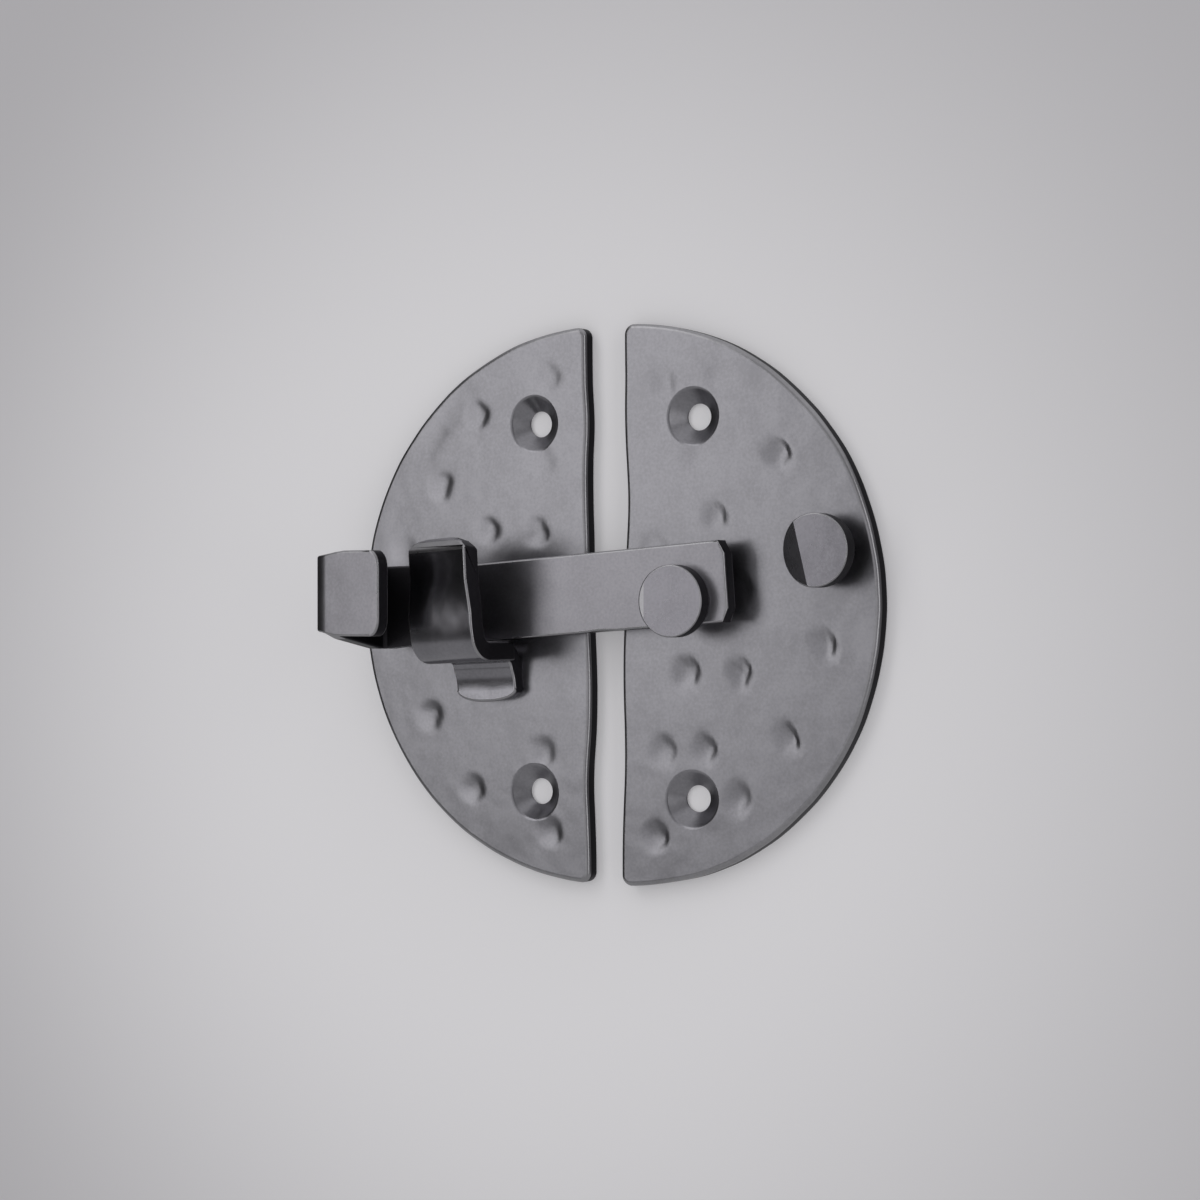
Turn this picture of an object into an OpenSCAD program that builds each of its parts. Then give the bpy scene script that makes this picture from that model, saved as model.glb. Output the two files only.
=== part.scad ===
// Half-moon cabinet latch: two hammered half-disc plates, a hook and a drop bar.
// X runs along the door, Z is up, and the plates' backs lie on the plane Y = 0.
// The origin is the middle of the four screws, and the front looks along -Y.

/* [Plates] */
// Radius of the disc that the two half-moon plates make
plate_r = 50.8; // [49:0.1:60]
// Thickness of the plates
plate_t = 2.8; // [2.5:0.1:4]
// Gap between the straight edges of the plates
plate_gap = 8; // [4:0.5:10]
// Radius that the hammer leaves along the front rim
rim_r = 0.7; // [0.3:0.1:1.2]

/* [Screw holes] */
// Distance between the two columns of screws
screw_spacing_x = 33.5; // [30:0.5:36]
// Distance between the two rows of screws
screw_spacing_z = 68; // [60:0.5:72]
// Distance from the keeper plate's straight edge to its screws
keeper_screw_inset = 11.4; // [10:0.1:13]
// How far the middle of the disc lies above the middle of the screws
disc_rise = 0.5; // [-1:0.1:1]
// Diameter of each screw hole
screw_d = 4.8; // [4:0.1:5.4]
// Diameter of the countersink at the front face
sink_d = 10; // [9:0.1:11]
// Straight part of the hole that is left below the countersink
sink_land = 0.5; // [0.3:0.1:0.8]

/* [Hammer marks] */
// Diameter of one hammer mark
dent_d = 6.2; // [4:0.1:7]
// Depth of a full hammer mark
dent_depth = 0.45; // [0.1:0.05:0.7]

/* [Drop bar] */
// Slope of the bar at rest, tab end down
bar_slope = 4.2; // [2:0.1:6]
// Thickness of the bar's strip
bar_t = 3.2; // [2.5:0.1:4]
// Height of the bar above its pivot
bar_rise = 10; // [8:0.1:12]
// Height of the bar below its pivot
bar_drop = 4.3; // [4.2:0.1:7]
// Length of the bar past its pivot, away from the tab
bar_tail = 9.7; // [8.5:0.1:11]
// Distance from the pivot to the outside of the tab's leg
bar_reach = 67.1; // [66.5:0.1:72]
// Corner cut off each side of the bar's tail
tail_clip = 2.3; // [1:0.1:3]
// How much the top edge swells towards the tab
heel_swell = 1.2; // [0:0.1:2]
// Edge break along the bar and the hook
edge_break = 0.5; // [0.2:0.1:0.8]

/* [Finger tab] */
// How far the front of the tab stands off the plates
tab_standoff = 25; // [22:0.5:32]
// Length of the tab from the outside of its leg to its free end
tab_len = 15.8; // [11:0.1:16]
// Height of the tab
tab_h = 15.6; // [12:0.1:18]
// How far the tab's lower edge lies above that of the bar
tab_lift = 2.6; // [0:0.1:4]
// Outer radius of the two bends that make the tab
tab_bend_r = 4; // [4:0.1:6]
// Corner radius of the tab's free end
tab_corner_r = 3.2; // [1:0.1:4]

/* [Keeper hook] */
// Width of the hook's strip
hook_w = 15; // [14:0.1:15.4]
// Thickness of the hook's strip
hook_t = 3.5; // [2.5:0.1:4]
// Distance from the pivot to the middle of the hook, along the bar
hook_reach = 43.1; // [42:0.1:43.4]
// Lean of the hook, its top to the left; a little less than the slope of the bar
hook_lean = 3; // [1:0.1:6]
// How far the front of the hook stands off the plate
hook_standoff = 17; // [15:0.1:18]
// Outer radius of the hook's two bends
hook_bend_r = 5; // [4.5:0.1:5.5]
// Height of the hook's front above its shelf
hook_h = 19.4; // [15:0.1:22]
// Width of the hook's front at its top
hook_top_w = 13.6; // [11:0.1:14]
// Height of the arch at the top of the hook
hook_arch = 2.6; // [1:0.1:3]
// Height of the slope that the hammer leaves at the top of the hook's front
hook_top_slope = 2.2; // [1:0.1:3]
// How far the middle of the round lug lies below the shelf's upper face
lug_drop = 4.3; // [3.8:0.1:6]
// Radius of the round end of the lug
lug_r = 6.6; // [6.2:0.1:7.5]
// Thickness of the lug, which is hammered thinner than the strip
lug_t = 2.6; // [2:0.1:3]
// How far the lug's middle lies to the left of the hook's middle
lug_shift = 0.9; // [0:0.1:1.2]
// How far the hook's rivet lies below the shelf's upper face
hook_rivet_drop = 8; // [7.6:0.1:8.2]

/* [Rivets and knob] */
// Place of the pivot to the right of the screws' middle
pivot_x = 17.3; // [16:0.1:19]
// Place of the pivot above the screws' middle
pivot_z = 1.2; // [-2:0.1:3]
// Diameter of the flat heads of the pivot rivet and the knob
head_d = 12.7; // [10:0.1:14]
// Thickness of those heads
head_t = 3; // [2:0.1:4]
// Edge radius of those heads
head_edge_r = 0.5; // [0.2:0.1:0.9]
// Diameter of the pivot rivet's shank
pivot_d = 6; // [5:0.1:7]
// Outer diameter of the spacing collar under the bar
collar_d = 8.4; // [8:0.1:9]
// Height of that collar
collar_h = 2.9; // [2.5:0.1:3.5]
// Distance of the knob from the outermost point of the disc, along the door
knob_inset = 9.5; // [9:0.1:12]
// Place of the knob above the screws' middle
knob_z = 9.8; // [6:0.1:12]
// Clear height under the knob's head
knob_neck_h = 3.8; // [3:0.1:6]
// Diameter of the knob's neck
knob_neck_d = 7; // [6:0.1:9]
// Diameter of the knob's tail
knob_tail_d = 5; // [4:0.1:5.5]
// Diameter of the hook's rivet
hook_rivet_d = 3.2; // [3:0.1:4]
// How much wider than its shank each upset rivet end is
upset = 1.6; // [1:0.1:2]

/* [Fits] */
// Radial clearance of the bar and the collar on the pivot rivet
pivot_fit = 0.08; // [0.02:0.01:0.1]
// End play of the bar on each side
end_play = 0.1; // [0.05:0.05:0.2]
// Radial clearance of a riveted shank in its hole
rivet_fit = 0.02; // [0.01:0.01:0.05]
// Distance that the resting bar keeps from the hook's shelf
rest_gap = 0.1; // [0.05:0.05:0.2]

/* [Hidden] */
$fn = 96;
// Cuts run past the faces that they open by this much
over = 1;
iron = [0.52, 0.51, 0.55];
dark_iron = [0.40, 0.39, 0.43];

// Straight edges of the two plates, measured from the middle of the screws
keeper_edge = -screw_spacing_x / 2 + keeper_screw_inset;
latch_edge = keeper_edge + plate_gap;
// Place of the knob to the right of the screws' middle
knob_x = latch_edge + plate_r - knob_inset;
// Heights above the mounting plane
bar_back = plate_t + collar_h + end_play;
bar_front = bar_back + bar_t;
head_back = bar_front + end_play;
tab_front = plate_t + tab_standoff;
hook_front = plate_t + hook_standoff;
lug_front = plate_t + lug_t;
// The tab's bend starts here, measured upright from the pivot
heel_x = tab_bend_r - bar_reach;
heel_low = heel_x * tan(bar_slope) - bar_drop / cos(bar_slope);
heel_high = heel_x * tan(bar_slope) + (bar_rise + heel_swell) / cos(bar_slope);
tab_low = heel_low + tab_lift;
tab_high = tab_low + tab_h;
tab_end = tab_len - bar_reach;
// The top edge swells from the hook's place to the heel
swell_x = -hook_reach;

// Hammer marks as [x, z, share of the full depth], chosen by eye
keeper_dents = [[-13.5, 42.5, 0.9], [-29, 36, 0.9], [-15.5, 28, 0.5], [-37.5, 23, 1],
                [-27, 14.5, 1], [-16, 14, 0.9], [-46.5, 11, 0.5], [-40, -20.5, 1],
                [-30, -34, 1], [-14.5, -26.5, 0.8], [-13, -41, 0.9]];
latch_dents = [[11, 40.5, 0.6], [20, 39, 0.5], [17.5, 28.5, 0.5], [34, 27, 1],
               [21.5, 16.5, 0.8], [9, 11, 0.5], [26.5, 3.5, 0.8], [43.5, -6.5, 1],
               [16, -11.5, 0.9], [27, -11.5, 1], [36, -22.5, 1], [19.5, -25, 0.9],
               [11, -25.5, 0.6], [26, -33.5, 0.8], [10, -41, 0.9]];

// Radius of a circle from a chord and the height of its arc
function arc_radius(chord, height) = (chord * chord / 4 + height * height) / (2 * height);
// A point on the bar's own axes, turned upright about the pivot
function on_bar(x, y) = [x * cos(bar_slope) - y * sin(bar_slope),
                         x * sin(bar_slope) + y * cos(bar_slope)];

// Stands a shape up: x and y become X and Z, and its height points out of the wall
module stand() {
  rotate([90, 0, 0]) children();
}

// Axes at the pivot, upright
module at_pivot() {
  translate([pivot_x, pivot_z, 0]) children();
}

// Axes of the hook: the middle of its shelf's upper face, which the bar meets at one side
module at_hook() {
  tilt = bar_slope - hook_lean;
  drop = rest_gap + abs(sin(tilt)) * hook_w / 2;
  at_pivot() rotate(bar_slope) translate([-hook_reach, -bar_drop - drop, 0]) rotate(-tilt)
    children();
}

// Axes of the hook's rivet, in the middle of the lug
module at_hook_rivet() {
  at_hook() translate([-lug_shift, -hook_rivet_drop, 0]) children();
}

// Gives width to a side view, whose x is the height off the wall and whose y is up
module across(width) {
  rotate([0, -90, 0]) linear_extrude(width, center = true) children();
}

// Gives height to a top view, whose x runs along the wall and whose y is off the wall
module upright(height) {
  rotate([90, 0, 0]) linear_extrude(height, center = true) children();
}

// One quarter of a ring, as a strip of thickness t makes when it is bent
module elbow(r_out, t) {
  intersection() {
    difference() {
      circle(r_out);
      circle(r_out - t);
    }
    square(r_out);
  }
}

// Takes the sharp edge off a face at height z, along the line from a to b
module break_line(a, b, z) {
  side = edge_break * sqrt(2);
  translate([a[0], a[1], z]) rotate(atan2(b[1] - a[1], b[0] - a[0])) rotate([45, 0, 0])
    translate([-over, -side / 2, -side / 2]) cube([norm(b - a) + 2 * over, side, side]);
}

// The round blank that the plates are cut from, with its softened front rim
module plate_blank() {
  rotate_extrude() {
    square([plate_r - rim_r, plate_t]);
    square([plate_r, plate_t - rim_r]);
    translate([plate_r - rim_r, plate_t - rim_r]) circle(rim_r);
  }
}

// Everything on one side of a straight edge at x = 0, with the same soft front edge
module straight_edge_stock() {
  upright(3 * plate_r) {
    square([2 * plate_r, plate_t - rim_r]);
    translate([rim_r, 0]) square([2 * plate_r, plate_t]);
    translate([rim_r, plate_t - rim_r]) circle(rim_r);
  }
}

// A countersunk wood-screw hole through the plate
module screw_hole() {
  translate([0, 0, -over]) cylinder(h = plate_t + 2 * over, d = screw_d);
  translate([0, 0, sink_land]) cylinder(h = plate_t - sink_land, d1 = screw_d, d2 = sink_d);
  translate([0, 0, plate_t]) cylinder(h = over, d = sink_d);
}

// A shallow bowl left by a ball hammer, deep is its share of the full depth
module dent(deep) {
  depth = dent_depth * deep;
  ball = arc_radius(dent_d, depth);
  translate([0, 0, plate_t + ball - depth]) sphere(ball);
}

// A hole for a shank of diameter d whose end is upset flush with the plate's back
module riveted_hole(d) {
  wide = d + 2 * rivet_fit;
  translate([0, 0, -over]) cylinder(h = plate_t + 2 * over, d = wide);
  translate([0, 0, -over]) cylinder(h = over, d = wide + upset);
  cylinder(h = upset / 2, d1 = wide + upset, d2 = wide);
}

// The shank itself, from the mounting plane up, with its upset end
module riveted_shank(d, height) {
  cylinder(h = height, d = d);
  cylinder(h = upset / 2, d1 = d + upset, d2 = d);
}

// A round flat head with a softened edge, its underside at height 0
module flat_head() {
  rotate_extrude() {
    square([head_d / 2 - head_edge_r, head_t]);
    square([head_d / 2, head_t - head_edge_r]);
    translate([head_d / 2 - head_edge_r, head_t - head_edge_r]) circle(head_edge_r);
  }
}

// One half-moon plate: side is -1 for the keeper's half and 1 for the bar's half
module half_plate(edge, side, dents) {
  difference() {
    translate([edge, disc_rise, 0]) intersection() {
      plate_blank();
      mirror([side < 0 ? 1 : 0, 0, 0]) straight_edge_stock();
    }
    for (row = [-1, 1])
      translate([side * screw_spacing_x / 2, row * screw_spacing_z / 2, 0]) screw_hole();
    for (mark = dents)
      translate([mark[0], mark[1], 0]) dent(mark[2]);
  }
}

// Left half: carries the hook
module keeper_plate() {
  color(iron) stand() difference() {
    half_plate(keeper_edge, -1, keeper_dents);
    at_hook_rivet() riveted_hole(hook_rivet_d);
  }
}

// Right half: carries the bar and the knob
module latch_plate() {
  color(iron) stand() difference() {
    half_plate(latch_edge, 1, latch_dents);
    at_pivot() riveted_hole(pivot_d);
    translate([knob_x, knob_z, 0]) riveted_hole(knob_tail_d);
  }
}

// The hook's bent strip in side view: up the plate, out as a shelf, up in front
module hook_side() {
  r = hook_bend_r;
  tip = -lug_drop - lug_r;
  difference() {
    union() {
      // The lug reaches the strip's full thickness where the first bend begins
      polygon([[plate_t, tip], [lug_front, tip], [lug_front, -r - (hook_t - lug_t) / 2],
               [plate_t + hook_t, -r], [plate_t, -r]]);
      translate([plate_t + r, -r]) rotate(90) elbow(r, hook_t);
      translate([plate_t + r, -hook_t]) square([hook_standoff - 2 * r, hook_t]);
      translate([hook_front - r, r - hook_t]) rotate(-90) elbow(r, hook_t);
      translate([hook_front - hook_t, r - hook_t]) square([hook_t, hook_h - r + hook_t]);
    }
    // The slope at the top of the front
    polygon([[hook_front - hook_t, hook_h], [hook_front, hook_h - hook_top_slope],
             [hook_front + over, hook_h - hook_top_slope], [hook_front + over, hook_h + over],
             [hook_front - hook_t, hook_h + over]]);
  }
}

// The same strip from the front: round lug below, tapered and arched front above
module hook_outline() {
  shoulder = hook_h - hook_arch;
  arch_r = arc_radius(hook_top_w, hook_arch);
  translate([-lug_shift, -lug_drop]) circle(lug_r);
  polygon([[-lug_shift - lug_r, -lug_drop], [lug_r - lug_shift, -lug_drop],
           [hook_w / 2, 0], [hook_w / 2, hook_bend_r], [hook_top_w / 2, shoulder],
           [-hook_top_w / 2, shoulder], [-hook_w / 2, hook_bend_r], [-hook_w / 2, 0]]);
  translate([0, hook_h - arch_r]) intersection() {
    circle(arch_r);
    translate([-arch_r, arch_r - hook_arch]) square([2 * arch_r, hook_arch]);
  }
}

// Hook of flat iron: a lug on the plate, a shelf for the bar and an upright front
module keeper_hook() {
  foot = [hook_w / 2, hook_bend_r];
  top = [hook_top_w / 2, hook_h - hook_arch];
  wide = hook_rivet_d + 2 * rivet_fit;
  color(dark_iron) stand() at_hook() difference() {
    intersection() {
      across(hook_w + over) hook_side();
      linear_extrude(hook_front + over) hook_outline();
    }
    break_line(foot, top, hook_front);
    break_line([-foot[0], foot[1]], [-top[0], top[1]], hook_front);
    translate([-lug_shift, -hook_rivet_drop, 0]) {
      cylinder(h = lug_front + over, d = wide);
      translate([0, 0, lug_front - upset / 2]) cylinder(h = upset / 2, d1 = wide, d2 = wide + upset);
    }
  }
}

// Flush rivet that holds the hook's lug to the plate
module keeper_rivet() {
  color(dark_iron) stand() at_hook_rivet() {
    riveted_shank(hook_rivet_d, lug_front);
    translate([0, 0, lug_front - upset / 2])
      cylinder(h = upset / 2, d1 = hook_rivet_d, d2 = hook_rivet_d + upset);
  }
}

// Flat-headed rivet that the bar turns on
module pivot_rivet() {
  color(iron) stand() at_pivot() {
    riveted_shank(pivot_d, head_back);
    translate([0, 0, head_back]) flat_head();
  }
}

// Ring that keeps the bar clear of the plate
module pivot_collar() {
  color(dark_iron) stand() at_pivot() translate([0, 0, plate_t]) difference() {
    cylinder(h = collar_h, d = collar_d);
    translate([0, 0, -over]) cylinder(h = collar_h + 2 * over, d = pivot_d + 2 * pivot_fit);
  }
}

// Outline of the flat of the bar, upright from the pivot, from the heel's top clockwise
function bar_outline() = [
  [heel_x, heel_high],
  on_bar(swell_x, bar_rise),
  on_bar(bar_tail - tail_clip, bar_rise),
  on_bar(bar_tail, bar_rise - tail_clip),
  on_bar(bar_tail, tail_clip - bar_drop),
  on_bar(bar_tail - tail_clip, -bar_drop),
  [heel_x, heel_low]];

// The bent end of the bar from above: out from the wall, then back over the bar
module tab_bends() {
  r = tab_bend_r;
  translate([heel_x, bar_back + r]) rotate(180) elbow(r, bar_t);
  translate([-bar_reach, bar_back + r]) square([bar_t, tab_front - bar_back - 2 * r]);
  translate([heel_x, tab_front - r]) rotate(90) elbow(r, bar_t);
  translate([heel_x, tab_front - bar_t]) square([tab_len - r, bar_t]);
}

// The same end from the side: both edges climb on the way out to the tab
module tab_side() {
  polygon([[bar_back, heel_low], [bar_front, heel_low], [tab_front - bar_t, tab_low],
           [tab_front, tab_low], [tab_front, tab_high], [tab_front - bar_t, tab_high],
           [bar_front, heel_high], [bar_back, heel_high]]);
}

// What is cut away to round one corner of the tab, drawn for the upper right one
module corner_waste(r) {
  difference() {
    square(r + over);
    circle(r);
  }
}

// Drop bar with its finger tab, one strip of flat iron
module latch_bar() {
  rim = bar_outline();
  color(iron) stand() at_pivot() difference() {
    union() {
      translate([0, 0, bar_back]) linear_extrude(bar_t) polygon(rim);
      intersection() {
        upright(4 * tab_h) tab_bends();
        translate([-bar_reach, 0, 0]) across(4 * tab_len) tab_side();
      }
    }
    translate([0, 0, bar_back - over])
      cylinder(h = bar_t + 2 * over, d = pivot_d + 2 * pivot_fit);
    for (i = [1 : len(rim) - 3])
      break_line(rim[i], rim[i + 1], bar_front);
    translate([0, 0, tab_front - bar_t - over]) linear_extrude(bar_t + 2 * over) {
      translate([tab_end - tab_corner_r, tab_high - tab_corner_r]) corner_waste(tab_corner_r);
      translate([tab_end - tab_corner_r, tab_low + tab_corner_r]) mirror([0, 1])
        corner_waste(tab_corner_r);
    }
  }
}

// Round pull knob, fixed to the plate; the thrown bar comes to rest against it
module pull_knob() {
  color(iron) stand() translate([knob_x, knob_z, 0]) {
    riveted_shank(knob_tail_d, plate_t + over);
    translate([0, 0, plate_t]) cylinder(h = knob_neck_h, d = knob_neck_d);
    translate([0, 0, plate_t + knob_neck_h]) flat_head();
  }
}

keeper_plate();
keeper_hook();
keeper_rivet();
latch_plate();
pivot_rivet();
pivot_collar();
latch_bar();
pull_knob();
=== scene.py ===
import math
import random

import bpy
from mathutils import Matrix, Vector


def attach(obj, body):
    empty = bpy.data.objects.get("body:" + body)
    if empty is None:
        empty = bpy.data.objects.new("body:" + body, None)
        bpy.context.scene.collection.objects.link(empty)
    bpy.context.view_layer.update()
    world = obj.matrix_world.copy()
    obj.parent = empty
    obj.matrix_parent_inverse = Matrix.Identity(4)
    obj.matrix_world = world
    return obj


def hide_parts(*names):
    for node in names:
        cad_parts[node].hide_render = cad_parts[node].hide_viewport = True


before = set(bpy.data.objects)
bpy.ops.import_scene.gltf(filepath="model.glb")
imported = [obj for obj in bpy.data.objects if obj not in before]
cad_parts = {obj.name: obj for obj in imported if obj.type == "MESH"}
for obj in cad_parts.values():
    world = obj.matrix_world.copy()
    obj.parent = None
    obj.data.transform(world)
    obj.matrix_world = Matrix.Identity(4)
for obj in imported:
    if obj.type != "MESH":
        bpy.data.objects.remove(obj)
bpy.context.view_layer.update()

# The camera: level with the latch, 31.5 degrees to its right, 435 mm from the gap between the plates.
# A 72 mm lens on a 36 mm sensor.
angle = math.radians(31.5)
aim = Vector((-0.0013, -0.0028, 0.0005))
bpy.ops.object.select_all(action="DESELECT")
bpy.ops.object.camera_add(
    location=aim + 0.435 * Vector((math.sin(angle), -math.cos(angle), 0)),
    rotation=(math.pi / 2, 0, angle))
camera = bpy.context.object
camera.data.lens = 72
camera.data.sensor_width = 36
camera.data.shift_x = -0.005
camera.data.shift_y = 0.0042
bpy.context.scene.camera = camera
bpy.context.scene.view_settings.view_transform = "Standard"


class Wire:
    """The value of one socket in a shader, which takes part in sums as a number does."""

    def __init__(self, tree, socket=None):
        self.tree = tree
        self.socket = socket

    def node(self, kind, settings=(), sockets=(), out=0):
        """Adds a node, sets it, joins its sockets and gives its output."""
        made = self.tree.nodes.new("ShaderNode" + kind)
        for name, value in dict(settings).items():
            if name == "stops":
                ramp = made.color_ramp.elements
                while len(ramp) < len(value):
                    ramp.new(0.5)
                for stop, (place, colour) in zip(ramp, value):
                    stop.position = place
                    stop.color = (*colour, 1) if hasattr(colour, "__len__") else (colour,) * 3 + (1,)
            else:
                setattr(made, name, value)
        for name, value in dict(sockets).items():
            if isinstance(value, Wire):
                self.tree.links.new(value.socket, made.inputs[name])
            elif hasattr(value, "__len__") and made.inputs[name].type == "RGBA":
                made.inputs[name].default_value = (*value, 1)
            else:
                made.inputs[name].default_value = value
        return Wire(self.tree, made.outputs[out]) if made.outputs else None

    def sum(self, operation, first, second=0.0):
        return self.node("Math", {"operation": operation}, {0: first, 1: second})

    def __add__(self, other):
        return self.sum("ADD", self, other)

    __radd__ = __add__

    def __mul__(self, other):
        return self.sum("MULTIPLY", self, other)

    __rmul__ = __mul__

    def __sub__(self, other):
        return self.sum("SUBTRACT", self, other)

    def __rsub__(self, other):
        return self.sum("SUBTRACT", other, self)

    def above(self, low, high):
        """0 below low, 1 above high, and smooth in between."""
        return self.node("MapRange", {"interpolation_type": "SMOOTHSTEP"}, {0: self, 1: low, 2: high})

    def blend(self, first, second):
        """A colour that goes from the first to the second as this value goes from 0 to 1."""
        return self.node("Mix", {"data_type": "RGBA"}, {0: self, 6: first, 7: second}, out=2)


def blank(owner):
    """An empty node tree on a material or a world, as a Wire to build on."""
    owner.use_nodes = True
    owner.node_tree.nodes.clear()
    return Wire(owner.node_tree)


# The studio: a pale sheet hangs right behind the plates and sweeps forward into the floor.
# It is plain paper, seen only from its front, so that the backs of the plates can be looked at too.
sheet_y = 0.0003
floor_z = -0.2
bpy.ops.mesh.primitive_plane_add(size=3, location=(0, sheet_y, floor_z + 1.5), rotation=(math.pi / 2, 0, 0))
backdrop = bpy.context.object
backdrop.name = "backdrop"
bpy.ops.object.transform_apply(location=True, rotation=True, scale=True)
bpy.ops.object.mode_set(mode="EDIT")
bpy.ops.mesh.select_mode(type="EDGE")
bpy.ops.mesh.select_all(action="DESELECT")
bpy.ops.object.mode_set(mode="OBJECT")
for edge in backdrop.data.edges:
    ends = [backdrop.data.vertices[i].co for i in edge.vertices]
    edge.select = all(end.z < floor_z + 0.01 for end in ends)
bpy.ops.object.mode_set(mode="EDIT")
bpy.ops.mesh.extrude_edges_move(TRANSFORM_OT_translate={"value": (0, -3, 0)})
bpy.ops.object.mode_set(mode="OBJECT")
sweep = backdrop.modifiers.new("sweep", "BEVEL")
sweep.width = 0.06
sweep.segments = 12
bpy.ops.object.modifier_apply(modifier="sweep")
bpy.ops.object.shade_smooth()
paper = bpy.data.materials.new("paper")
shade = blank(paper)
place = shade.node("TexCoord", out=3)
# The paper is painted paler round a spot low in the middle and darker towards the corners: a painted pool of light
corner = shade.node("VectorMath", {"operation": "DISTANCE"}, {0: place, 1: (-0.02, 0, -0.02)}, out=1)
tone = corner.above(0.05, 0.2).blend((0.8, 0.79, 0.805), (0.5, 0.49, 0.505))
front_only = shade.node("NewGeometry", out=6)
seen = shade.node("LightPath", out=0) * (1 - front_only)
pale = shade.node("AddShader", sockets={
    0: shade.node("BsdfDiffuse", sockets={0: tone}),
    1: shade.node("Emission", sockets={0: tone, 1: 0.2})})
shade.node("OutputMaterial", sockets={0: shade.node("MixShader", sockets={
    0: seen, 1: shade.node("BsdfTransparent"), 2: pale})})
backdrop.data.materials.append(paper)

# The light: a tall soft box in front of the latch and to its left, another to its right, a pale ceiling and
# a darker floor. The room is black to the left of the soft box, which is what the left flanks and the hook's
# front mirror, and its front wall is paler than the right one.
for name, azimuth, height, distance, size, luminance in (
        ("soft box", -33, 20, 0.85, (0.31, 0.95), 1.42),
        ("side box", 64, 7, 0.84, (0.35, 0.8), 1.3)):
    across, up = math.radians(azimuth), math.radians(height)
    place = distance * Vector((math.sin(across) * math.cos(up), -math.cos(across) * math.cos(up), math.sin(up)))
    bpy.ops.object.light_add(type="AREA", location=place, rotation=(-place).to_track_quat("-Z", "Y").to_euler())
    lamp = bpy.context.object
    lamp.name = name
    lamp.data.shape = "RECTANGLE"
    lamp.data.size, lamp.data.size_y = size
    lamp.data.energy = luminance * math.pi * size[0] * size[1]
    lamp.visible_camera = False
room = bpy.data.worlds.new("room")
bpy.context.scene.world = room
air = blank(room)
direction = air.node("TexCoord", out=0)
upwards = air.node("SeparateXYZ", sockets={0: direction}, out=2)
leftwards = air.node("VectorMath", {"operation": "DOT_PRODUCT"}, {0: direction, 1: (-0.97, -0.24, 0)}, out=1)
forwards = air.node("VectorMath", {"operation": "DOT_PRODUCT"}, {0: direction, 1: (0, -1, 0)}, out=1)
front_wall = forwards.above(0.82, 0.95).blend((0.15, 0.15, 0.155), (0.65, 0.65, 0.66))
walls = leftwards.above(0.5, 0.75).blend(front_wall, (0.015, 0.015, 0.015))
over_floor = (0 - upwards).above(0.15, 0.5).blend(walls, (0.45, 0.45, 0.455))
ambient = upwards.above(0.4, 0.8).blend(over_floor, (0.7, 0.7, 0.71))
camera_ray = air.node("LightPath", out=0)
air.node("OutputWorld", sockets={0: air.node("Background", sockets={
    0: camera_ray.blend(ambient, (0.52, 0.52, 0.53))})})


# The two plates: one disc of 3 mm sheet iron sawn in halves, one for each door. Each half is drilled and
# countersunk for two wood screws, hammered with a ball hammer, most of all along its edges, and finished
# with a thin grey-black lacquer.
def pick(kind, test, first=None):
    """In edit mode, selects the points, edges or faces that pass a test, and nothing else, and gives their number.
    A point is tested by its place, an edge by its ends' places, and a face by its centre and its normal.
    Where an operator is given, only what it selects is tested."""
    bpy.ops.object.mode_set(mode="EDIT")
    bpy.ops.mesh.select_mode(type=kind)
    bpy.ops.mesh.select_all(action="SELECT" if first is None else "DESELECT")
    if first:
        first()
    bpy.ops.object.mode_set(mode="OBJECT")
    mesh = bpy.context.object.data
    at = [point.co for point in mesh.vertices]
    sorts = {
        "VERT": (mesh.vertices, lambda point: test(point.co)),
        "EDGE": (mesh.edges, lambda edge: test(at[edge.vertices[0]], at[edge.vertices[1]])),
        "FACE": (mesh.polygons, lambda face: test(face.center, face.normal))}
    parts, passes = sorts[kind]
    chosen = [part.index for part in parts if part.select and passes(part)]
    for group in (mesh.vertices, mesh.edges, mesh.polygons):
        group.foreach_set("select", [False] * len(group))
    for index in chosen:
        parts[index].select = True
    bpy.ops.object.mode_set(mode="EDIT")
    return len(chosen)


def placed(name, *finishes):
    """Names a new piece, puts its place and turn into its mesh, and gives it its finishes."""
    piece = bpy.context.object
    piece.name = piece.data.name = name
    bpy.ops.object.transform_apply(location=True, rotation=True, scale=True)
    for finish in finishes:
        piece.data.materials.append(finish)
    return piece


def blow(at, move, reach, near=0.0008):
    """A hammer blow: what lies nearest to a place gives way, and the iron round it follows softly."""
    at = Vector(at)
    if pick("VERT", lambda point: (point - at).length < near):
        bpy.ops.transform.translate(value=move, use_proportional_edit=True, proportional_size=reach,
                                    proportional_edit_falloff="SMOOTH", use_proportional_connected=True)


def sharp_edges():
    bpy.ops.mesh.edges_select_sharp(sharpness=math.radians(38))


def carry(*steps):
    """Draws the selected face or end onwards: straight along a vector, or round a bend."""
    for step in steps:
        if len(step) == 3:
            bpy.ops.mesh.extrude_region_move(TRANSFORM_OT_translate={"value": step})
        else:
            centre, axis, turn, parts = step
            bpy.ops.mesh.spin(steps=parts, angle=-math.radians(turn), center=centre, axis=axis)


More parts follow.
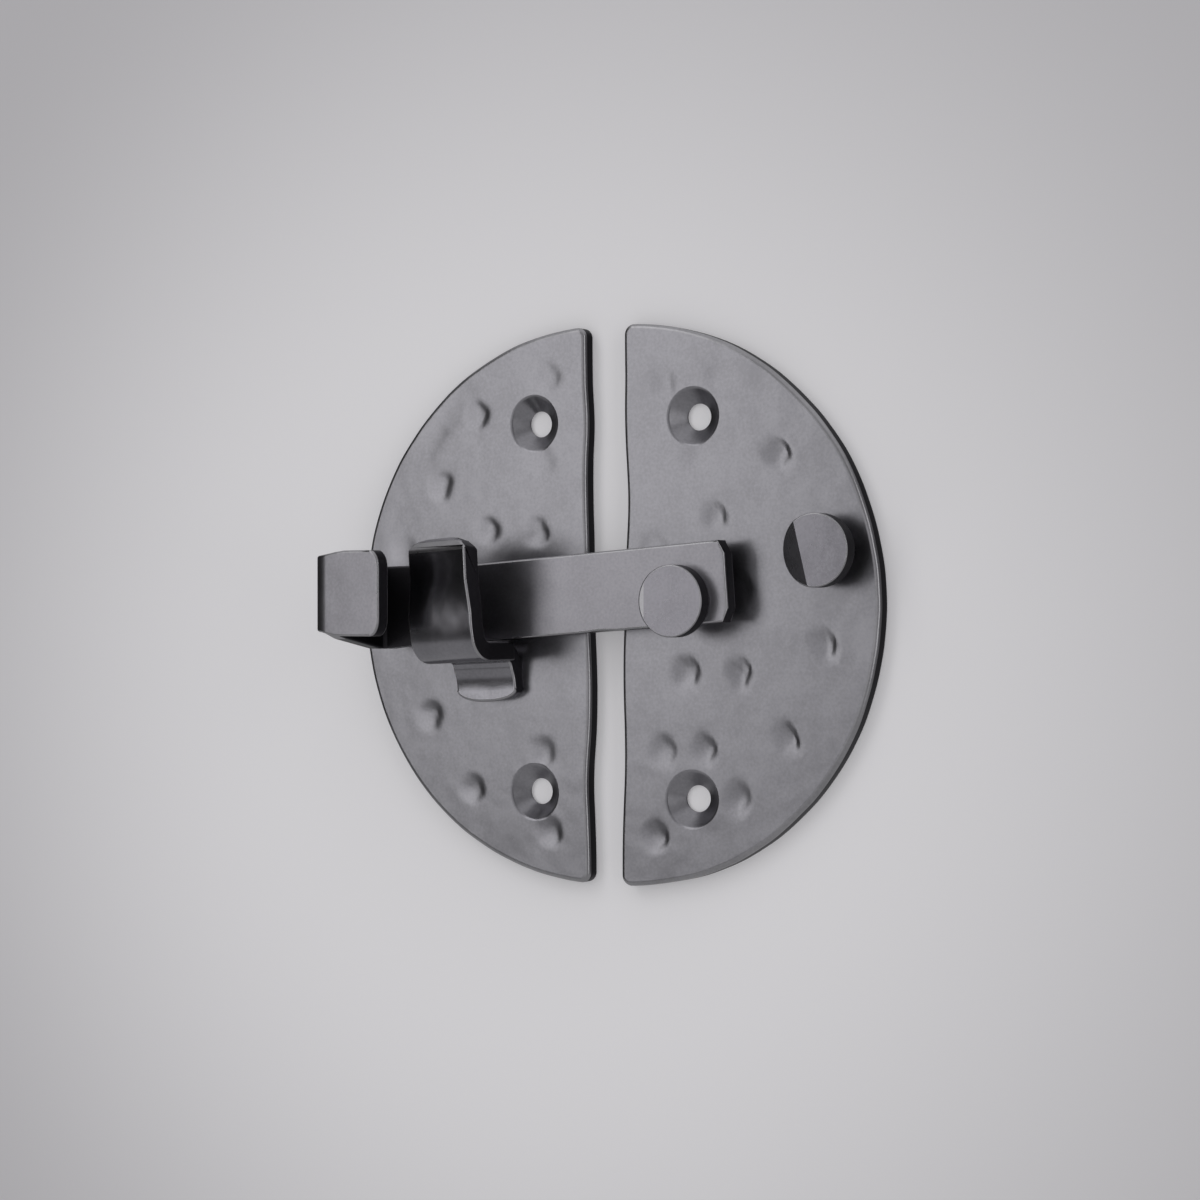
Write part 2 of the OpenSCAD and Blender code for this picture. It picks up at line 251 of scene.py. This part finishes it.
def drilled(piece, mouth, profile):
    """Sinks a hole into a piece, from its mouth backwards. The profile gives its depths and radii."""
    bpy.ops.object.mode_set(mode="OBJECT")
    bpy.ops.object.select_all(action="DESELECT")
    bpy.ops.mesh.primitive_circle_add(vertices=72, radius=profile[0][1], rotation=(math.pi / 2, 0, 0),
                                      location=mouth - Vector((0, 0.001, 0)), fill_type="NGON")
    drill = placed("drill")
    pick("FACE", lambda centre, normal: True)
    carry((0, 0.001, 0))
    for (depth, radius), (deeper, smaller) in zip(profile, profile[1:]):
        carry((0, deeper - depth, 0))
        bpy.ops.transform.resize(value=(smaller / radius, 1, smaller / radius), center_override=mouth)
    bpy.ops.mesh.select_all(action="SELECT")
    bpy.ops.mesh.normals_make_consistent(inside=False)
    bpy.ops.object.mode_set(mode="OBJECT")
    bpy.context.view_layer.objects.active = piece
    hole = piece.modifiers.new("hole", "BOOLEAN")
    hole.object = drill
    bpy.ops.object.modifier_apply(modifier="hole")
    bpy.ops.object.select_all(action="DESELECT")
    drill.select_set(True)
    bpy.ops.object.delete()
    piece.select_set(True)
    # The mouth's edge is sharp, so that the flat round it stays flat
    pick("EDGE", lambda p, q: all(abs(end.y - mouth.y) < 1e-5 > abs((end - mouth).length - profile[0][1])
                                  for end in (p, q)))
    bpy.ops.mesh.mark_sharp()


def finished(piece, number, test):
    """Gives one of a piece's finishes to the faces that pass a test, by their centre and their normal."""
    bpy.ops.object.mode_set(mode="OBJECT")
    for face in piece.data.polygons:
        if test(face.center, face.normal):
            face.material_index = number


def half_moon(name, edge, side, screws, dents, bends):
    """One half of the disc. Side is -1 for the left half and 1 for the right one."""
    front, back, radius, corner = -0.0028, -0.0001, 0.0507, 0.0019
    ring, rounding, screw_rise = 0.0009, 0.0008, 0.034
    middle = Vector((edge, front, 0.0005))
    bpy.ops.object.select_all(action="DESELECT")
    bpy.ops.mesh.primitive_circle_add(vertices=512, radius=radius, location=middle, rotation=(math.pi / 2, 0, 0),
                                      fill_type="NGON")
    piece = placed(name, sheet_iron, rubbed_iron, shade_painted_iron)
    # Sawn in half, and the two corners filed round
    cuts = [(middle, Vector((-side, 0, 0)))]
    for end in (-1, 1):
        centre = middle + Vector((side * corner, 0, end * math.sqrt((radius - corner) ** 2 - corner ** 2)))
        for turn in range(13, 90, 13):
            out = Vector((-side * math.cos(math.radians(turn)), 0, end * math.sin(math.radians(turn))))
            cuts.append((centre + corner * out, out))
    for at, out in cuts:
        pick("FACE", lambda centre, normal: True)
        bpy.ops.mesh.bisect(plane_co=at, plane_no=out, threshold=1e-6, clear_outer=True)
    pick("EDGE", lambda p, q: abs(p.x - edge) < 1e-5 > abs(q.x - edge))
    bpy.ops.mesh.subdivide(number_cuts=39)
    bpy.ops.mesh.subdivide(number_cuts=3)
    # The rim is one even ring, and the flat inside it a grid fine enough to hammer
    pick("FACE", lambda centre, normal: True)
    bpy.ops.mesh.inset(thickness=ring)
    bpy.ops.mesh.delete(type="FACE")
    pick("EDGE", lambda p, q: all(side * (end.x - edge) > 0.0006 and (end - middle).length < radius - 0.0006
                                  for end in (p, q)))
    bpy.ops.mesh.fill_grid(span=160)
    bpy.ops.mesh.select_all(action="SELECT")
    bpy.ops.mesh.extrude_region_move(TRANSFORM_OT_translate={"value": (0, back - front, 0)})
    pick("VERT", lambda p: True)
    bpy.ops.mesh.normals_make_consistent(inside=False)
    # The front edge is hammered round, most of all at the rim
    on_front = lambda p, q: p.y < front + 1e-5 > q.y
    by_seam = lambda p, q: max(side * (p.x - edge), side * (q.x - edge)) < 0.001
    for weight, seam_only in ((1, False), (-0.55, True)):
        pick("EDGE", lambda p, q: on_front(p, q) and (not seam_only or by_seam(p, q)), sharp_edges)
        bpy.ops.transform.edge_bevelweight(value=weight)
    bpy.ops.object.mode_set(mode="OBJECT")
    round_edge = piece.modifiers.new("round edge", "BEVEL")
    round_edge.limit_method = "WEIGHT"
    round_edge.offset_type = "ABSOLUTE"
    round_edge.width = rounding
    round_edge.segments = 4
    round_edge.material = 1
    bpy.ops.object.modifier_apply(modifier="round edge")
    # Drilled and countersunk for one screw above and one below
    for z in (-screw_rise, screw_rise):
        drilled(piece, Vector((screws, front, z)), (
            (0, 0.00535), (0.00004, 0.00515), (0.00013, 0.00498), (0.00027, 0.00482), (0.00225, 0.0026),
            (0.0024, 0.0024), (0.004, 0.0024)))
    # The ball of the hammer came down a little from the left, so the right wall of each dent is steeper
    for x, z, depth in dents:
        blow(((x - 2 * depth) / 1000, front, z / 1000), (3 * depth / 1000, depth / 1000, 0),
             0.0033 - 3 * depth / 1000, 0.0011)
    for x, z, shift, reach in bends:
        blow((edge + x / 1000, front, z / 1000), (shift / 1000, 0, 0), reach / 1000, 0.001)
    # The round rim is uneven from the hammer, and nowhere stands out past the disc
    for turn in range(-80, 81, 8):
        out = Vector((side * math.cos(math.radians(turn)), 0, math.sin(math.radians(turn))))
        blow(middle + radius * out, -uneven.uniform(0.00002, 0.00022) * out, uneven.uniform(0.005, 0.009), 0.0011)
    # The flanks get the dark finish: painted shade
    finished(piece, 2, lambda centre, normal: abs(normal.y) < 0.4 and centre.y > front + 0.0007
             and (centre - Vector((screws, centre.y, math.copysign(screw_rise, centre.z)))).length > 0.006)
    bpy.ops.object.shade_smooth_by_angle(angle=math.radians(50))
    return piece


def iron(name, colour, roughness, unevenness=1.0):
    """Forged iron under a thin satin lacquer: cloudy, fine-grained and not quite flat."""
    made = bpy.data.materials.new(name)
    shade = blank(made)
    place = shade.node("TexCoord", out=3)
    cloud = shade.node("TexNoise", sockets={"Vector": place, "Scale": 110.0, "Detail": 3.0})
    grain = shade.node("TexNoise", sockets={"Vector": place, "Scale": 1900.0, "Detail": 2.0})
    wave = shade.node("TexNoise", sockets={"Vector": place, "Scale": 170.0, "Detail": 1.0})
    tone = (0.6 * cloud + 0.4 * grain).above(0.3, 0.7)
    shade.node("OutputMaterial", sockets={0: shade.node("BsdfPrincipled", sockets={
        "Base Color": tone.blend([0.88 * c for c in colour], [1.12 * c for c in colour]),
        "Metallic": 1.0,
        "Roughness": roughness - 0.05 + 0.1 * cloud,
        "Normal": shade.node("Bump", sockets={
            "Strength": 1.0, "Distance": 0.0002, "Height": unevenness * (0.5 * wave + 0.02 * grain)})})})
    return made


uneven = random.Random(7)
sheet_iron = iron("hammered sheet iron", (0.285, 0.28, 0.3), 0.3)
rubbed_iron = iron("rubbed edge of the sheet", (0.33, 0.325, 0.34), 0.3)
# This dark finish is painted shade: the flanks, sides and hollows that get it are dark only from the light
shade_painted_iron = iron("iron painted dark as shade", (0.04, 0.038, 0.043), 0.42)
for name, edge, side, screws, dents, bends in (
        ("keeper_plate_iron", -0.00535, -1, -0.01675,
         ((-35.5, 36.8, 0.07), (-37.5, 35, 0.07), (-39.3, 32.8, 0.07), (-41.2, 30.6, 0.06), (-32.7, 39.4, 0.06),
          (-13.5, 42.5, 0.18), (-29, 36, 0.28), (-15, 27, 0.12), (-37.5, 23, 0.27), (-27, 14.5, 0.3), (-16, 14, 0.27),
          (-46.5, 11, 0.14), (-40, -20.5, 0.27), (-30, -34, 0.27), (-14.5, -26.5, 0.22), (-13, -41, 0.27)),
         ((0, 50, -0.5, 30), (0, -16, 0.6, 18), (0, -48, 0.4, 14), (0, 22, -0.3, 12), (0, -30, -0.2, 8),
          (0, 34, 0.25, 7))),
        ("latch_plate_iron", 0.00265, 1, 0.01675,
         ((11, 40.5, 0.2), (22, 41, 0.14), (17.5, 27, 0.1), (34, 27, 0.36), (21.5, 16.5, 0.3),
          (9, 11, 0.17), (26.5, 3.5, 0.26), (43.5, -6.5, 0.36), (16, -11.5, 0.3), (27, -11.5, 0.34),
          (36, -22.5, 0.36), (19.5, -25, 0.3), (11, -25.5, 0.22), (26, -33.5, 0.28), (10, -41, 0.3)),
         ((0, 50, -0.3, 22), (0, 19, 0.4, 10), (0, -12, -0.6, 20), (0, -46, -0.8, 26), (0, 34, -0.2, 8)))):
    plate = half_moon(name, edge, side, screws, dents, bends)
    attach(plate, "frame")
    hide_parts(name.removesuffix("_iron"))


# The keeper hook: a length of 15 by 3.5 mm strip with one end hammered thinner and rounded as a lug. It is bent
# out from the plate as a shelf and up again as the front, whose right edge is twisted forward, and its top
# is filed to a slope with round shoulders. A flush rivet through the lug holds it to the left plate.
def filed(at, outward, crisp=False):
    """Files a piece flat: takes off what stands outside a plane."""
    pick("VERT", lambda point: True)
    bpy.ops.mesh.bisect(plane_co=at, plane_no=outward.normalized(), threshold=1e-6, clear_outer=True, use_fill=True)
    if crisp:
        bpy.ops.mesh.mark_sharp()


def eased(size, parts, inside=False):
    """Hammers off the sharp edges, which get the second finish, and lets the flat faces shade flat.
    Blender takes the hook's open shape for its inside, which inside puts right."""
    pick("EDGE", lambda p, q: True, sharp_edges)
    bpy.ops.mesh.bevel(offset=size, segments=parts, material=1)
    bpy.ops.mesh.select_all(action="SELECT")
    bpy.ops.mesh.normals_make_consistent(inside=inside)
    bpy.ops.object.mode_set(mode="OBJECT")
    bpy.ops.object.shade_smooth_by_angle(angle=math.radians(40))
    flat = bpy.context.object.modifiers.new("flat", "WEIGHTED_NORMAL")
    flat.keep_sharp = True
    bpy.ops.object.modifier_apply(modifier="flat")


def bent_hook(name):
    front, back, bend, thick, lug_width, width = -0.0198, -0.0028, 0.005, 0.0035, 0.0132, 0.015
    skew, twist = 5, 1.3
    bpy.ops.object.select_all(action="DESELECT")
    # The section of the strip, level, where the lug ends and the first bend begins
    bpy.ops.mesh.primitive_plane_add(size=1, location=(-0.0009, back - thick / 2, -bend))
    bpy.context.object.scale = (lug_width, thick, 1)
    piece = placed(name, hook_iron, wear_and_highlight_iron, shade_painted_iron)
    pick("FACE", lambda centre, normal: True)
    # Out along the shelf, which is wider than the lug
    carry(((0, back - bend, -bend), (1, 0, 0), 90, 8))
    bpy.ops.transform.resize(value=(width / lug_width, 1, 1), center_override=(-0.0009, 0, 0))
    bpy.ops.transform.translate(value=(0.0009, 0, 0))
    carry((0, front - back + 2 * bend, 0))
    # The second bend is a little askew and eases off upwards, and above it the front is twisted further
    bpy.ops.transform.rotate(value=math.radians(skew), orient_axis="Z", center_override=(-0.001, front + bend, 0))
    askew = Matrix.Rotation(-math.radians(skew), 3, "Z")
    axis = askew @ Vector((1, 0, 0))
    ease, radius = math.radians(9), 0.03
    heart = Vector((-0.001, front + bend, bend - thick))
    carry((heart, axis, -81, 9),
          (heart + (radius - bend) * (askew @ Vector((0, math.cos(ease), math.sin(ease)))), axis, -9, 5))
    for step in range(5):
        carry((0, 0, 0.0012))
        bpy.ops.transform.rotate(value=math.radians(twist), orient_axis="Z", center_override=(-0.001, front, 0))
    carry((0, 0, 0.0102))
    # The slope, which is steeper at the front, and the shoulders are filed
    turned = Matrix.Rotation(-math.radians(skew + 5 * twist), 3, "Z")
    for back_from, height, rise, run in ((0.0, 0.0172, 1.4, 1.1), (0.0011, 0.0186, 0.8, 2.4)):
        filed(turned @ Vector((0, back_from - 0.0003, 0)) + Vector((-0.001, front, height)),
              turned @ Vector((0, -rise, run)))
    for x, z, lean in ((0, 0.0195, 0), (-0.0008, 0.0195, 7), (0.003, 0.01905, 18), (0.0058, 0.018, 34),
                       (0.0071, 0.0171, 50), (-0.0036, 0.0195, -12), (-0.0062, 0.01895, -32)):
        filed((x, front, z), Vector((math.sin(math.radians(lean)), 0, math.cos(math.radians(lean)))))
    # The lug is hammered thinner and goes down to its round end
    pick("FACE", lambda centre, normal: abs(centre.z + bend) < 1e-5 and normal.z < -0.9)
    for drop, thinner in ((0.00035, 0.00333), (0.0005, 0.0031), (0.0004, 0.00295), (0.0005, 0.00284),
                          (0.0006, 0.00276), (0.0007, 0.00269), (0.0008, 0.00264), (0.00205, 0.0026)):
        carry((0, 0, -drop))
        bpy.ops.transform.resize(value=(1, thinner / thick, 1), center_override=(0, back, 0))
        thick = thinner
    pick("EDGE", lambda p, q: max(p.z, q.z) < -0.0108 and abs(p.x - q.x) < 1e-5)
    bpy.ops.mesh.bevel(offset=0.0058, segments=10)
    eased(0.00045, 3, inside=True)
    # The steep front slope of the top gets the lighter finish: a painted highlight
    finished(piece, 1, lambda centre, normal: centre.z > 0.0165 and 0.4 < normal.z < 0.8 and normal.y < -0.6)
    # The flanks and the right-facing shoulders of the top get the dark finish: painted shade
    finished(piece, 2, lambda centre, normal: abs(normal.x) > 0.8 or (normal.x > 0.3 and centre.z > 0.0172))
    # Turned and moved to its place under the bar
    piece.rotation_euler = (0, -math.radians(3), 0)
    piece.location = (-0.02535, 0, -0.0065)
    return placed(name)


# The hook's iron is a shade darker than the plates: painted shade for its dark front
hook_iron = iron("hook iron, painted a shade darker", (0.25, 0.245, 0.265), 0.19)
# This lighter finish is edge wear on the eased edges, and a painted highlight where the hook's front slope and the
# pivot's facet get it
wear_and_highlight_iron = iron("edge worn bright, and painted highlight", (0.34, 0.335, 0.35), 0.28)
hook = bent_hook("keeper_hook_iron")
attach(hook, "frame")
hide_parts("keeper_hook")
for node in ("keeper_rivet", "pivot_collar"):
    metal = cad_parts[node].data.materials
    metal.clear()
    metal.append(hook_iron)


# The drop bar: one length of 15 by 3.2 mm strip, which the pivot rivet goes through, with clipped corners at its
# tail.
# Its left end is bent out from the door and back over the bar, and makes a tab for one finger, whose
# edges the smith has drawn in at the bend and rounded at the end.
def flat_bar(name):
    back, front, bend, thick, tab, reach = -0.0058, -0.009, 0.004, 0.0032, -0.0278, 0.0671
    slope = math.radians(4.2)
    pivot = Vector((0.0173, 0, 0.0012))
    bpy.ops.object.select_all(action="DESELECT")
    # The straight part, from the hook's place to the tail, sloping down to the left
    bpy.ops.mesh.primitive_cube_add(size=1, location=(
        pivot.x - 0.0167 * math.cos(slope) - 0.00285 * math.sin(slope), (back + front) / 2,
        pivot.z - 0.0167 * math.sin(slope) + 0.00285 * math.cos(slope)), rotation=(0, -slope, 0))
    bpy.context.object.scale = (0.0528, thick, 0.0143)
    piece = placed(name, bar_iron, wear_and_highlight_iron, shade_painted_iron)
    pick("EDGE", lambda p, q: abs(p.x - q.x) > 0.03)
    bpy.ops.mesh.subdivide(number_cuts=41)
    heel = pivot.x + bend - reach
    # On to the heel, where the strip is upright and a little taller
    pick("FACE", lambda centre, normal: normal.x < -0.9)
    left = min(point.co.x for point in piece.data.vertices)
    carry((-0.0335 - left, 0, 0), (heel + 0.0335, 0, 0))
    bpy.ops.transform.resize(value=(0, 1, 1), center_override=(heel, 0, 0))
    bpy.ops.object.mode_set(mode="OBJECT")
    low = min(p.co.z for p in piece.data.vertices if p.select)
    high = max(p.co.z for p in piece.data.vertices if p.select)
    heel_low = pivot.z + (bend - reach) * math.tan(slope) - 0.0043 / math.cos(slope)
    heel_high = pivot.z + (bend - reach) * math.tan(slope) + 0.0112 / math.cos(slope)
    bpy.ops.object.mode_set(mode="EDIT")
    bpy.ops.transform.resize(value=(1, 1, (heel_high - heel_low) / (high - low)), center_override=(0, 0, low))
    bpy.ops.transform.translate(value=(0, 0, heel_low - low))
    # Out from the door, then back over the bar as the finger tab
    carry(((heel, back - bend, 0), (0, 0, 1), 90, 10))
    for step in range(4):
        carry((0, (tab - back + 2 * bend) / 4, 0.0026 / 4))
    carry(((heel, tab + bend, 0), (0, 0, 1), 90, 12), *[(0.0118 / 6, 0, 0)] * 6)
    # The tail's corners are clipped and those of the tab are rounded
    pick("EDGE", lambda p, q: abs(p.x - q.x) < 1e-5 and
         (p.x - pivot.x) * math.cos(slope) + (p.z - pivot.z) * math.sin(slope) > 0.0096)
    bpy.ops.mesh.bevel(offset=0.0023, segments=1)
    pick("EDGE", lambda p, q: max(p.y, q.y) < -0.02 and min(p.x, q.x) > -0.0345 and abs(p.z - q.z) < 1e-5
         and abs(p.y - q.y) > 0.001)
    bpy.ops.mesh.bevel(offset=0.0032, segments=7)
    # The edges are drawn in at the tab's bend, and a slip of the hammer has marked the lower edge of the bar
    for x, y, z, move, spread in (
            (-0.0495, -0.0265, 0.0109, (0, 0, -0.0009), 0.007), (-0.0495, -0.0265, -0.0047, (0, 0, 0.0008), 0.005),
            (-0.0115, -0.009, -0.0037, (0, 0.0003, 0.0004), 0.003), (0.0005, -0.009, -0.003, (0, 0, 0.0002), 0.004)):
        blow((x, y, z), move, spread, 0.0015)
    eased(0.0004, 3)
    # The flanks, the inside of the bends and the bar's face between the tab and the hook get the dark finish: painted
    # shade where the tab and the bends shade the iron
    finished(piece, 2, lambda centre, normal: abs(normal.y) < 0.25 or (
        centre.x < -0.034 and centre.y > -0.0235 and (normal.x > 0.25 or normal.y < -0.5 and centre.y > -0.0155)))
    return piece


bar_iron = iron("bar iron", (0.3, 0.292, 0.315), 0.34)
bar = flat_bar("latch_bar_iron")
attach(bar, "bar")
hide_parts("latch_bar")


# The pivot rivet and the pull knob: turned from round bar, each with a flat head that the hammer has marked,
# a neck down to its seat and a shank that goes through the right plate and is riveted over behind it.
def headed(name, x, z, seat, underside, front, neck, shank, flats):
    radius, tail = 0.00635, 0.0008
    bpy.ops.object.select_all(action="DESELECT")
    bpy.ops.mesh.primitive_cylinder_add(vertices=72, radius=radius, depth=underside - front,
                                        location=(x, (underside + front) / 2, z), rotation=(math.pi / 2, 0, 0))
    piece = placed(name, head_iron, wear_and_highlight_iron, shade_painted_iron)
    pick("FACE", lambda centre, normal: normal.y > 0.9)
    bpy.ops.mesh.inset(thickness=radius - neck)
    carry((0, seat - underside, 0))
    if shank < neck:
        bpy.ops.mesh.inset(thickness=neck - shank)
    carry((0, -tail - seat, 0), (0, tail - 2e-5, 0))
    bpy.ops.transform.resize(value=(1 + tail / shank, 1, 1 + tail / shank), center_override=(x, 0, z))
    for off, turn, lean, finish in flats:
        out = Vector((-math.cos(math.radians(turn)), 0, -math.sin(math.radians(turn))))
        filed(Vector((x, front, z)) + off * out,
              math.sin(math.radians(lean)) * out + Vector((0, -math.cos(math.radians(lean)), 0)), crisp=True)
        piece.active_material_index = finish
        bpy.ops.object.material_slot_assign()
    eased(0.00025, 3)
    # The sides of the head and neck get the dark finish: painted shade
    finished(piece, 2, lambda centre, normal: abs(normal.y) < 0.25)
    return piece


head_iron = iron("head iron", (0.235, 0.228, 0.25), 0.27)
for name, node, spot in (
        # The pivot's facet gets the lighter finish: a painted highlight. The knob's facet keeps the head's own finish
        ("pivot_rivet_iron", "pivot_rivet", (0.0173, 0.0012, -0.0028, -0.0091, -0.0121, 0.003, 0.003,
                                             ((0.0052, 0, 2.5, 1),))),
        ("pull_knob_iron", "pull_knob", (0.04395, 0.0098, -0.0028, -0.0066, -0.0096, 0.0035, 0.0025,
                                         ((0.00254, 13.8, 16, 0),)))):
    head = headed(name, *spot)
    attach(head, "frame")
    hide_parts(node)
